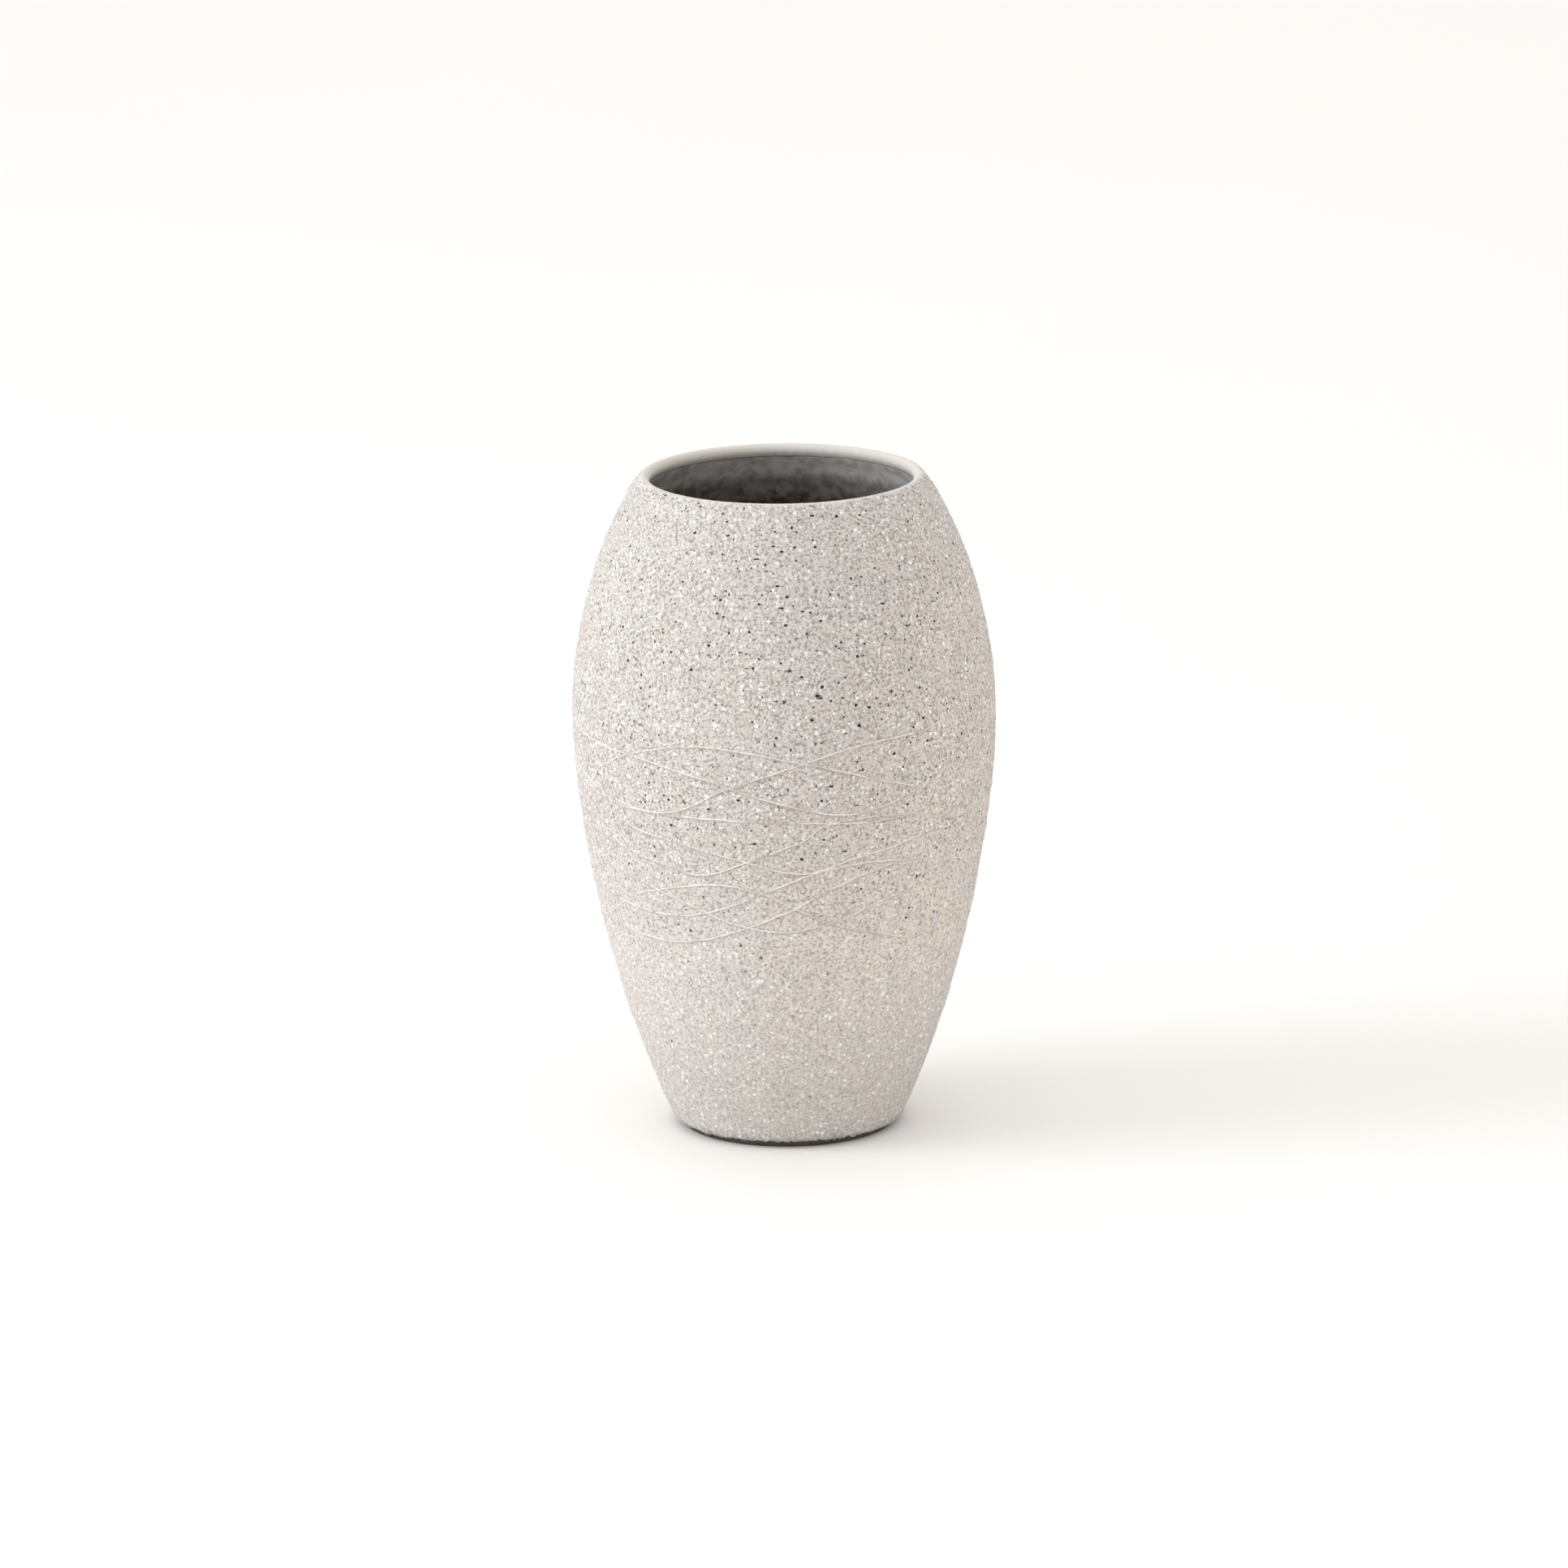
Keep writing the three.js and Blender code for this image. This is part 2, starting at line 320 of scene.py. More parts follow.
# The coat's section: up the outside, over the lip and a short way down inside, then back along the clay
def coatSection():
    half = shape["lipThickness"] / 2
    centre = outline[-1] - outlineOut[-1] * half
    turn = np.linspace(0, math.pi, 60)[:, None]
    round180 = np.cos(turn) * outlineOut[-1] + np.sin(turn) * outlineAlong[-1]
    cap = centre + half * round180
    insideAll = outline - outlineOut * (wallDepth + clayDepth)[:, None]
    inside = insideAll[insideAll[:, 1] > insideAll[-1, 1] - coat["insideReach"]][::-1]
    face, at = resample(np.concatenate([outline, cap[1:], inside[1:]]), coat["rowStep"])
    wallLength = np.linalg.norm(np.diff(outline, axis=0), axis=1).sum()
    backInside = outline - outlineOut * (wallDepth + shape["layerGap"])[:, None]
    backInside = backInside[backInside[:, 1] > inside[-1, 1]]
    capRadius = half - shape["coatThickness"]
    backCap = centre + capRadius * round180[::-1]
    backOutside = (outline - outlineOut * shape["coatThickness"])[::-1]
    back, _ = resample(np.concatenate([backInside, backCap[1:-1], backOutside]), 2.5)
    return face, at, wallLength, back


coatFace, coatAt, wallLength, coatBack = coatSection()
coatOut = outwardOf(coatFace)
turnSteps = coat["turnSteps"]
angles = np.arange(turnSteps) * 2 * math.pi / turnSteps
beltStep = 2 * math.pi * bellyRadius / turnSteps


# Soft random hills about this many mm across, mean 0 and spread 1, that close up round the pot
def softField(seed, size, stretch=1.0):
    white = np.random.default_rng(seed).standard_normal((len(coatAt), turnSteps))
    up = np.fft.fftfreq(len(coatAt), d=coat["rowStep"])[:, None]
    around = np.fft.fftfreq(turnSteps, d=beltStep)[None, :]
    keep = np.exp(-(up ** 2 + (around * stretch) ** 2) * (1.1 * size) ** 2)
    field = np.fft.ifft2(np.fft.fft2(white) * keep).real
    return field / field.std()


# Scatters grains or pits over the wall: lumps of irregular outline, the highest one kept at each place
def scatter(seed, count, size, rise, longest, chance):
    rng = np.random.default_rng(seed)
    tall = np.zeros((len(coatAt), turnSteps))
    tone = np.zeros_like(tall)
    weight = coatFace[:, 0] * chance
    rows = np.interp(rng.random(count), np.cumsum(weight) / weight.sum(), np.arange(len(coatAt)))
    turns = rng.random(count) * turnSteps
    spread = rng.random((count, 7))
    for row, turn, r in zip(rows, turns, spread):   # r holds this lump's own random numbers
        halfWidth = size[0] + (size[1] - size[0]) * r[0] ** 1.6
        height = rise[0] + (rise[1] - rise[0]) * r[1]
        stretch = 1 + (longest - 1) * r[2] ** 2
        lean = r[3] * math.pi
        step = 2 * math.pi * coatFace[int(row), 0] / turnSteps
        reach = halfWidth * math.sqrt(stretch) * 1.25
        up = int(reach / coat["rowStep"]) + 1
        across = int(reach / step) + 1
        i = np.arange(int(row) - up, int(row) + up + 2)
        i = i[(i >= 0) & (i < len(coatAt))]
        j = np.arange(int(turn) - across, int(turn) + across + 2)
        y = ((i - row) * coat["rowStep"])[:, None]
        x = ((j - turn) * step)[None, :]
        u = (x * math.cos(lean) + y * math.sin(lean)) / (halfWidth * math.sqrt(stretch))
        v = (y * math.cos(lean) - x * math.sin(lean)) / (halfWidth / math.sqrt(stretch))
        bearing = np.arctan2(v, u)
        corner = 1 + 0.16 * np.cos(3 * bearing + 6.3 * r[4]) + 0.08 * np.cos(5 * bearing + 9 * r[5])
        near = np.clip(1.15 - np.hypot(u, v) / corner, 0, 1)
        lump = near * near * (3 - 2 * near)
        place = np.ix_(i, j % turnSteps)
        tall[place] = np.maximum(tall[place], height * lump)
        tone[place] = np.maximum(tone[place], (0.35 + 0.65 * r[6]) * smoothStep(0.15, 0.6, lump))
    return tall, tone


# How close each place is to a trailed line: 1 on it, 0 about twice the reach away
def nearLines(reach, below=0.0):
    near = np.zeros((len(coatAt), turnSteps))
    for knots in trailedRoutes:
        route = smoothRoute(knots, 2400)
        row = np.interp(route[:, 1] - below, coatFace[:wallRows, 1], np.arange(wallRows))
        turn = (np.radians(route[:, 0]) / (2 * math.pi) * turnSteps) % turnSteps
        for di in range(-5, 6):
            for dj in range(-5, 6):
                i = np.round(row).astype(int) + di
                j = np.round(turn).astype(int) + dj
                away = np.hypot((i - row) * coat["rowStep"], (j - turn) * beltStep)
                np.maximum.at(near, (i, j % turnSteps), np.exp(-(away / reach) ** 2))
    return near


wallRows = int(np.searchsorted(coatAt, wallLength))
fromLip = (wallLength - coatAt)[:, None]   # mm below the lip, along the wall
gritty = smoothStep(-coat["lipReach"], 0.1, fromLip + 0.25 * softField(11, 2.5))
height01 = np.clip(coatFace[:, 1] / potHeight, 0, 1)

print("coat: scattering grains")
unrubbed = 1 - 0.9 * rubbedShare(angles)
lineNearness = nearLines(0.65) * unrubbed
# painted shadow under each trailed line, drawn a little below it
lineShade = nearLines(0.30, below=0.18) * unrubbed
# grains all over the outside, and a little way over the lip
everywhere = np.where(coatAt < wallLength + coat["lipReach"], 1.0, 0.0)
largeTall, largeTone = scatter(21, coat["largeGrains"], coat["largeSize"], coat["largeRise"],
                               coat["largeStretch"], everywhere)
smallTall, smallTone = scatter(22, coat["smallGrains"], coat["smallSize"], coat["smallRise"],
                               coat["smallStretch"], everywhere)
pitChance = everywhere * (0.25 + smoothStep(0.25, 0.6, height01) - 0.35 * smoothStep(0.9, 1.0, height01))
pitDeep, pitTone = scatter(23, coat["pits"], coat["pitSize"], coat["pitDepth"], coat["pitStretch"], pitChance)

ownRise = coat["lumps"] * softField(31, 2.2) + coat["throwing"] * softField(32, 5.0, stretch=9.0)
ownRise = ownRise + 0.02 * softField(33, 0.8)
calm = 1 - 0.8 * lineNearness
grainRise = np.maximum(largeTall, smallTall) * gritty * calm
pitFall = pitDeep * gritty * (1 - lineNearness)
# the coat is banked up a little along each line
coatRise = ownRise * (0.3 + 0.7 * gritty) + grainRise - pitFall + 0.10 * lineNearness
coatRise[:2] -= 0.12   # the coat thins at its very edge
crisp = smoothStep(0.12, 0.58, height01)[:, None]   # the coat was brushed softer towards the foot
# painted shade: the coat is drawn darker towards the foot
footShade = coat["footShade"] * (1 - smoothStep(0.05, 0.32, height01))[:, None]
peppered = gritty * (0.35 + 0.65 * smoothStep(0.22, 0.62, height01))[:, None] * (1 - lineNearness)
aboveEdge = coatFace[:, 1:] - coatStart + 0.5 * softField(36, 1.6)
# painted shade just above the coat's lower edge, next to the floor
edgeShade = coat["edgeShade"] * (1 - smoothStep(-0.2, 2.4, aboveEdge)) ** 1.5
speckled = gritty * smoothStep(0.15, 0.42, height01)[:, None] * (1 - lineNearness)
# Drifts of coarser iron specks: degrees from the front, height and reach in mm
ironDrifts = [(29, 96, 15), (12, 108, 10), (-142, 74, 17), (118, 84, 15)]
drifted = np.zeros_like(speckled)
for angle, level, reach in ironDrifts:
    turn = (np.degrees(angles) - angle + 180) % 360 - 180
    away = np.hypot(np.radians(turn)[None, :] * coatFace[:, :1], coatFace[:, 1:] - level)
    drifted = np.maximum(drifted, np.exp(-(away / reach) ** 2) * gritty)
drifted = smoothStep(0.15, 0.65, drifted)
grainTone = np.clip(np.maximum(largeTone, 0.75 * smallTone) * gritty * calm, 0, 1)
pitTone = pitTone * gritty * (1 - lineNearness)

# Warmer stains in the coat: degrees from the front, height and reach in mm, and strength
warmStains = [(56, 74, 20, 0.5), (66, 104, 26, 0.45), (36, 46, 18, 0.8), (62, 56, 18, 0.4),
              (-150, 90, 26, 0.5), (160, 50, 20, 0.5), (110, 110, 20, 0.4), (-110, 40, 18, 0.3)]
warmth = 0.08 + 0.05 * softField(41, 9.0)
for angle, level, reach, strength in warmStains:
    turn = (np.degrees(angles) - angle + 180) % 360 - 180
    away = np.hypot(np.radians(turn)[None, :] * coatFace[:, :1], coatFace[:, 1:] - level)
    warmth = warmth + strength * np.exp(-(away / reach) ** 2) * (0.75 + 0.3 * softField(42, 4.0))
warmth = np.clip(warmth, 0, 1)


# A flat random pattern of grains: cells of this size, a share of them filled, each cut at its own radius
def grainPattern(tree, place, cell, filled, radius, soft=0.10):
    cells = addNode(tree, "ShaderNodeTexVoronoi", {"Scale": perMetre(cell)}, {"Vector": place})
    pick = addNode(tree, "ShaderNodeSeparateColor", {}, {"Color": cells.outputs["Color"]})
    size = addNode(tree, "ShaderNodeMapRange",
                   {"From Min": 1 - filled, "To Min": radius[0], "To Max": radius[1]},
                   {"Value": pick.outputs["Red"]}, clamp=False).outputs["Result"]
    chosen = addNode(tree, "ShaderNodeMath", {1: 1 - filled}, {0: pick.outputs["Red"]},
                     operation="GREATER_THAN").outputs[0]
    inside = addNode(tree, "ShaderNodeMath", {}, {0: size, 1: cells.outputs["Distance"]},
                     operation="SUBTRACT").outputs[0]
    mask = addNode(tree, "ShaderNodeMapRange", {"From Min": 0.0, "From Max": soft}, {"Value": inside},
                   interpolation_type="SMOOTHSTEP").outputs["Result"]
    return product(tree, mask, chosen), pick.outputs["Green"]


# The same, with each grain a little paler or darker than the next
def shownGrains(tree, place, cell, filled, radius, soft):
    grains, tone = grainPattern(tree, place, cell, filled, radius, soft)
    strength = addNode(tree, "ShaderNodeMapRange", {"To Min": 0.4, "To Max": 1.0}, {"Value": tone})
    return product(tree, grains, strength.outputs["Result"])


# Pushes the pattern's coordinates about so that the grains get broken outlines, mm
def shaken(tree, place, size, amount):
    wave = addNode(tree, "ShaderNodeTexNoise", {"Scale": perMetre(size), "Detail": 1.0}, {"Vector": place})
    centred = addNode(tree, "ShaderNodeVectorMath", {1: (0.5, 0.5, 0.5)}, {0: wave.outputs["Color"]},
                      operation="SUBTRACT").outputs[0]
    push = addNode(tree, "ShaderNodeVectorMath", {"Scale": amount * mm}, {0: centred},
                   operation="SCALE").outputs[0]
    return addNode(tree, "ShaderNodeVectorMath", {}, {0: place, 1: push}, operation="ADD").outputs[0]


def stretched(tree, place, angles, scale):
    turned = addNode(tree, "ShaderNodeMapping", {"Rotation": angles, "Scale": scale}, {"Vector": place})
    return turned.outputs["Vector"]


def product(tree, a, b):
    node = addNode(tree, "ShaderNodeMath", operation="MULTIPLY")
    for socket, value in zip(node.inputs, (a, b)):
        if isinstance(value, float):
            socket.default_value = value
        else:
            tree.links.new(value, socket)
    return node.outputs[0]


def highest(tree, a, b):
    return addNode(tree, "ShaderNodeMath", {}, {0: a, 1: b}, operation="MAXIMUM").outputs[0]


def painted(tree, under, over, amount):
    # one colour laid over another where amount says
    values = {}
    links = {0: amount}
    for slot, colour in ((6, under), (7, over)):
        if isinstance(colour, str):
            values[slot] = linear(colour)
        else:
            links[slot] = colour
    return addNode(tree, "ShaderNodeMix", values, links, data_type="RGBA").outputs[2]


def grittyCoatMaterial():
    # A matte stoneware slip loaded with sand and fired dry: broken white grains stand out of a pinkish
    # grey ground, iron specks melt black, and there is hardly any shine.
    material, tree, surface = startMaterial("sanded stoneware slip")
    place = addNode(tree, "ShaderNodeTexCoord").outputs["Object"]
    marks = {key: addNode(tree, "ShaderNodeAttribute", attribute_name=key).outputs["Fac"]
             for key in ("grain", "speck", "warmth", "gritty", "peppered", "lineShade", "crisp",
                         "footShade", "speckled", "edgeShade", "drifted")}
    broken = shaken(tree, place, 0.40, 0.42)
    fine = addNode(tree, "ShaderNodeTexNoise", {"Scale": perMetre(0.60), "Detail": 2.0, "Roughness": 0.6},
                   {"Vector": place}).outputs["Fac"]
    cloud = addNode(tree, "ShaderNodeTexNoise", {"Scale": perMetre(16.0), "Detail": 2.0},
                    {"Vector": place}).outputs["Fac"]
    ground = painted(tree, coat["pinkGround"], coat["greyGround"], cloud)
    ground = painted(tree, coat["lowGround"], ground, marks["crisp"])
    ground = painted(tree, coat["lipGround"], ground, marks["gritty"])   # pale where the lip is rubbed
    stained = painted(tree, ground, coat["stain"], marks["warmth"])
    grainShade = addNode(tree, "ShaderNodeMapRange",
                   {"From Min": 0.36, "From Max": 0.55, "To Min": 0.86, "To Max": 0.0},
                   {"Value": fine}).outputs["Result"]   # shade between the grains
    rust, _ = grainPattern(tree, broken, *coat["rust"])
    deeper = addNode(tree, "ShaderNodeMapRange", {"To Min": 0.62, "To Max": 0.88},
                     {"Value": marks["crisp"]}).outputs["Result"]   # deeper further up the pot
    grainShade = product(tree, product(tree, grainShade, deeper), marks["gritty"])
    dark = highest(tree, grainShade, product(tree, product(tree, rust, 0.8), marks["peppered"]))
    # painted shade between the grains, together with the rust specks, laid in the shade colour
    mottled = painted(tree, stained, coat["shade"], dark)

    smallSand = product(tree, shownGrains(tree, broken, *coat["smallSand"]), 0.95)
    largeSand = shownGrains(tree, broken, *coat["largeSand"])
    softSand = shownGrains(tree, broken, *coat["softSand"])
    straw, _ = grainPattern(tree, stretched(tree, broken, (0.6, 0.4, 0.9), (1.0, 0.18, 1.0)),
                            *coat["straw"])
    sharpSand = highest(tree, highest(tree, smallSand, largeSand), straw)
    sand = addNode(tree, "ShaderNodeMix", {}, {0: marks["crisp"], 2: softSand, 3: sharpSand},
                   data_type="FLOAT").outputs[0]
    sand = highest(tree, product(tree, sand, marks["gritty"]), product(tree, marks["grain"], 0.38))
    crowd = addNode(tree, "ShaderNodeTexNoise", {"Scale": perMetre(4.5), "Detail": 2.0}, {"Vector": place})
    crowding = addNode(tree, "ShaderNodeMapRange",
                       {"From Min": 0.38, "From Max": 0.60, "To Min": 0.62, "To Max": 1.15},
                       {"Value": crowd.outputs["Fac"]}).outputs["Result"]   # sand lies in loose clusters
    sand = product(tree, sand, crowding)
    sanded = painted(tree, mottled, coat["sand"], sand)
    # painted shade: the coat darker towards the foot, and darkest just above its lower edge by the floor
    sanded = painted(tree, sanded, coat["footShadeTone"], marks["footShade"])
    sanded = painted(tree, sanded, coat["edgeShadeTone"], marks["edgeShade"])
    # painted shadow below each trailed line
    lined = painted(tree, sanded, coat["lineShadeTone"], product(tree, marks["lineShade"], 0.55))

    roundIron, _ = grainPattern(tree, stretched(tree, broken, (0.5, 0.2, 0.3), (1.0, 1.3, 0.8)),
                                *coat["roundIron"])
    longIron, _ = grainPattern(tree, stretched(tree, broken, (0.2, 0.9, 1.7), (0.45, 1.6, 1.2)),
                               *coat["longIron"])
    largeIron, _ = grainPattern(tree, stretched(tree, broken, (1.1, 0.4, 0.8), (0.8, 1.25, 1.0)),
                                *coat["largeIron"])
    iron = product(tree, highest(tree, roundIron, longIron), marks["peppered"])
    iron = highest(tree, iron, product(tree, largeIron, marks["speckled"]))
    driftIron, _ = grainPattern(tree, stretched(tree, broken, (0.4, 1.3, 0.2), (0.75, 1.3, 1.0)),
                                *coat["driftIron"])
    iron = highest(tree, iron, product(tree, driftIron, marks["drifted"]))
    iron = highest(tree, iron, marks["speck"])
    specked = painted(tree, lined, coat["iron"], iron)

    relief = addNode(tree, "ShaderNodeMath", {1: 0.5, 2: 0.0}, {0: fine}, operation="MULTIPLY_ADD").outputs[0]
    relief = addNode(tree, "ShaderNodeMath", {}, {0: relief, 1: sand}, operation="ADD").outputs[0]
    relief = addNode(tree, "ShaderNodeMath", {}, {0: relief, 1: iron}, operation="SUBTRACT").outputs[0]
    bump = addNode(tree, "ShaderNodeBump", {"Strength": 0.8, "Distance": 0.10 * mm}, {"Height": relief})
    tree.links.new(specked, surface.inputs["Base Color"])
    tree.links.new(bump.outputs["Normal"], surface.inputs["Normal"])
    surface.inputs["Roughness"].default_value = 0.9
    surface.inputs["IOR"].default_value = 1.5
    return material


def makeCoat():
    face = turnRows(coatFace, coatOut, coatRise, turnSteps)
    # the lower edge is left ragged, as the brush lifts off
    ragged = 0.36 + 0.12 * softField(34, 1.8)[:1] + 0.06 * softField(35, 0.7)[:1]
    face[:3, :, 2] += ragged * np.array([1.0, 0.66, 0.33])[:, None]
    back = turnRows(coatBack, outwardOf(coatBack), 0 * angles, turnSteps)
    back[-1, :, 2] += ragged[0]
    backRows = len(coatBack)
    blank = np.zeros((backRows, turnSteps))
    blankFace = np.zeros((len(coatFace), turnSteps))
    values = {"grain": grainTone, "speck": np.clip(pitTone * 1.3, 0, 1), "warmth": warmth,
              "gritty": gritty, "peppered": peppered, "lineShade": lineShade, "crisp": crisp,
              "footShade": footShade, "speckled": speckled, "edgeShade": edgeShade, "drifted": drifted}
    values = {key: np.concatenate([grid + blankFace, blank]) for key, grid in values.items()}
    rows = np.concatenate([face, back])
    return turnedMesh("grittyCoat", rows, grittyCoatMaterial(), ring=True, values=values)


print("coat: building", len(coatAt), "rows of", turnSteps)
grittyCoat = makeCoat()
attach(grittyCoat, "root")
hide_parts("outer_coat")


def softLoop(rng, count, waves):
    # a smooth random line that closes up, spread 1
    wave = np.fft.rfft(rng.standard_normal(count))
    wave *= np.exp(-(np.arange(len(wave)) / waves) ** 2)
    loop = np.fft.irfft(wave, count)
    return loop / loop.std()


def makeTrailedLines():
    points = []
    faces = []
    places = []
    stripCount = len(trailedRoutes) * lines["sides"]
    for number, knots in enumerate(trailedRoutes):
        rng = np.random.default_rng(50 + number)
        count = lines["steps"]
        route = smoothRoute(knots, count)
        level = route[:, 1] + lines["wander"] * softLoop(rng, count, 45)   # 45 waves round the pot
        angle = np.radians(route[:, 0])
        reach = np.interp(level, outline[:, 1], outline[:, 0])
        out = np.stack([np.interp(level, outline[:, 1], outlineOut[:, k]) for k in (0, 1)], 1)
        outward = np.stack([out[:, 0] * np.sin(angle), -out[:, 0] * np.cos(angle), out[:, 1]], 1)
        centre = np.stack([reach * np.sin(angle), -reach * np.cos(angle), level], 1)
        ahead = np.roll(centre, -1, axis=0) - np.roll(centre, 1, axis=0)
        ahead /= np.linalg.norm(ahead, axis=1)[:, None]
        beside = np.cross(outward, ahead)
        width = lines["halfWidth"] * np.clip(1 + 0.22 * softLoop(rng, count, 220), 0.6, 1.6)
        tall = lines["relief"] * np.clip(1 + 0.22 * softLoop(rng, count, 300), 0.5, 1.5)
        sink = 0.05 - 0.11 * np.clip(softLoop(rng, count, 16) - 0.5, 0, 2)
        sink = sink - lines["rubDepth"] * rubbedShare(angle)
        first = number * count * lines["sides"]
        for side in range(lines["sides"]):
            turn = 2 * math.pi * side / lines["sides"]
            points.append((centre + outward * (sink + tall * math.sin(turn))[:, None]
                           + beside * (width * math.cos(turn))[:, None]))
            nextSide = (side + 1) % lines["sides"]
            here = np.arange(count)
            there = (here + 1) % count
            near = first + side * count
            far = first + nextSide * count
            faces.append(np.stack([near + here, near + there, far + there, far + here], 1))
            strip = number * lines["sides"] + side   # each side has its own strip of the bake map
            low = np.full(count, strip / stripCount)
            high = np.full(count, (strip + 0.9) / stripCount)
            u0, u1 = here / count, (here + 1) / count
            corners = [(u0, low), (u1, low), (u1, high), (u0, high)]
            places.append(np.stack([np.stack(corner, 1) for corner in corners], 1))
    mesh = bpy.data.meshes.new("trailedLines")
    mesh.from_pydata((np.concatenate(points) * mm).tolist(), [], np.concatenate(faces).tolist())
    mesh.polygons.foreach_set("use_smooth", np.ones(len(mesh.polygons), bool))
    layer = mesh.uv_layers.new(name="OFBake")
    layer.data.foreach_set("uv", np.concatenate(places).astype(np.float32).ravel())
    mesh.update()
    mesh.materials.append(trailedSlipMaterial())
    piece = bpy.data.objects.new("trailedLines", mesh)
    scene.collection.objects.link(piece)
    return piece


def trailedSlipMaterial():
    # Plain white slip laid from a fine nozzle: smoother and a little paler than the sanded coat
    material, tree, surface = startMaterial("trailed white slip")
    place = addNode(tree, "ShaderNodeTexCoord").outputs["Object"]
    grit = addNode(tree, "ShaderNodeTexNoise", {"Scale": perMetre(0.8), "Detail": 3.0, "Roughness": 0.7},
                   {"Vector": place}).outputs["Fac"]
    stretch = addNode(tree, "ShaderNodeTexNoise", {"Scale": perMetre(9.0), "Detail": 1.0}, {"Vector": place})
    worn = addNode(tree, "ShaderNodeMapRange", {"From Min": 0.46, "From Max": 0.66, "To Max": 0.70},
                   {"Value": stretch.outputs["Fac"]}).outputs["Result"]
    fresh = painted(tree, lines["shaded"], lines["lit"], grit)
    tone = painted(tree, fresh, lines["worn"], worn)
    bump = addNode(tree, "ShaderNodeBump", {"Strength": 0.6, "Distance": 0.08 * mm}, {"Height": grit})
    tree.links.new(tone, surface.inputs["Base Color"])
    tree.links.new(bump.outputs["Normal"], surface.inputs["Normal"])
    surface.inputs["Roughness"].default_value = 0.78
    surface.inputs["IOR"].default_value = 1.5
    return material


print("trailed lines")
trailedLines = makeTrailedLines()
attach(trailedLines, "root")
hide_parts("trailed_lines")


liner = {
    "turnSteps": 320,
    "rowStep": 0.7,
    "rings": 0.14,       # finger rings under the glaze, mm
    "ringPitch": 6.5,
    "edgeWander": 0.12,  # how far the glaze line rises and falls below the lip
    "cornerReach": 5.0,  # how far the rounding between floor and wall reaches
    "brown": "#463B36",
    "thinBrown": "#807771",
    "rimLight": "#D3D1CC",
    "rimLightFrom": 126.5,   # the painted light inside the rim begins at this height and is full at the next, mm
    "rimLightTo": 138.5,
    "rimLightTilt": 0.06,    # and runs this much further down for each mm to the right, where the lamp at the left shines in
}


def cavitySection(depthExtra, top):
    # the inside of the pot from the middle of the floor up to a height
    inner = outline - outlineOut * (wallDepth + depthExtra)[:, None]
    floor = glazeLow.z / mm + depthExtra - shape["layerGap"]
    reach = liner["cornerReach"] - depthExtra
    wall = inner[(inner[:, 1] > floor + reach) & (inner[:, 1] < top)]
    slope = (wall[1, 0] - wall[0, 0]) / (wall[1, 1] - wall[0, 1])
    corner = np.array([wall[0, 0] - slope * reach, floor])
    t = np.linspace(0, 1, 30)[:, None]
    edge = corner - [reach, 0]
    bend = (1 - t) ** 2 * edge + 2 * t * (1 - t) * corner + t ** 2 * wall[0]
    return np.concatenate([[[0, floor]], bend, wall[1:]])


def makeLiner():
    top = glazeHigh.z / mm + 0.35   # runs up to the end of the coat
    front, at = resample(cavitySection(shape["layerGap"] + shape["glazeThickness"], top), liner["rowStep"])
    back, _ = resample(cavitySection(shape["layerGap"], top)[::-1], 4.0)
    turns = liner["turnSteps"]
    angle = np.arange(turns) * 2 * math.pi / turns
    rng = np.random.default_rng(61)
    drift = softLoop(rng, turns, 3) * 0.6
    climb = smoothStep(12, 30, at)[:, None] * smoothStep(0, 6, (at[-1] - at))[:, None]
    spiral = 2 * math.pi * (at[:, None] + drift) / liner["ringPitch"] + angle
    rise = liner["rings"] * np.sin(spiral) * climb
    inward = -outwardOf(front)
    rows = turnRows(front, inward, rise, turns)
    edge = liner["edgeWander"] * (0.6 * softLoop(rng, turns, 5) + 0.4 * softLoop(rng, turns, 22))
    nearEdge = smoothStep(at[-1] - 4, at[-1], at)[:, None]
    rows[:, :, 2] += nearEdge * edge
    backRows = turnRows(back, outwardOf(back), 0 * angle, turns)
    backRows[0, :, 2] = rows[-1, :, 2]
    rows[0, :, :2] = 0
    backRows[-1, :, :2] = 0
    return turnedMesh("linerGlaze", np.concatenate([rows, backRows]), linerGlazeMaterial())


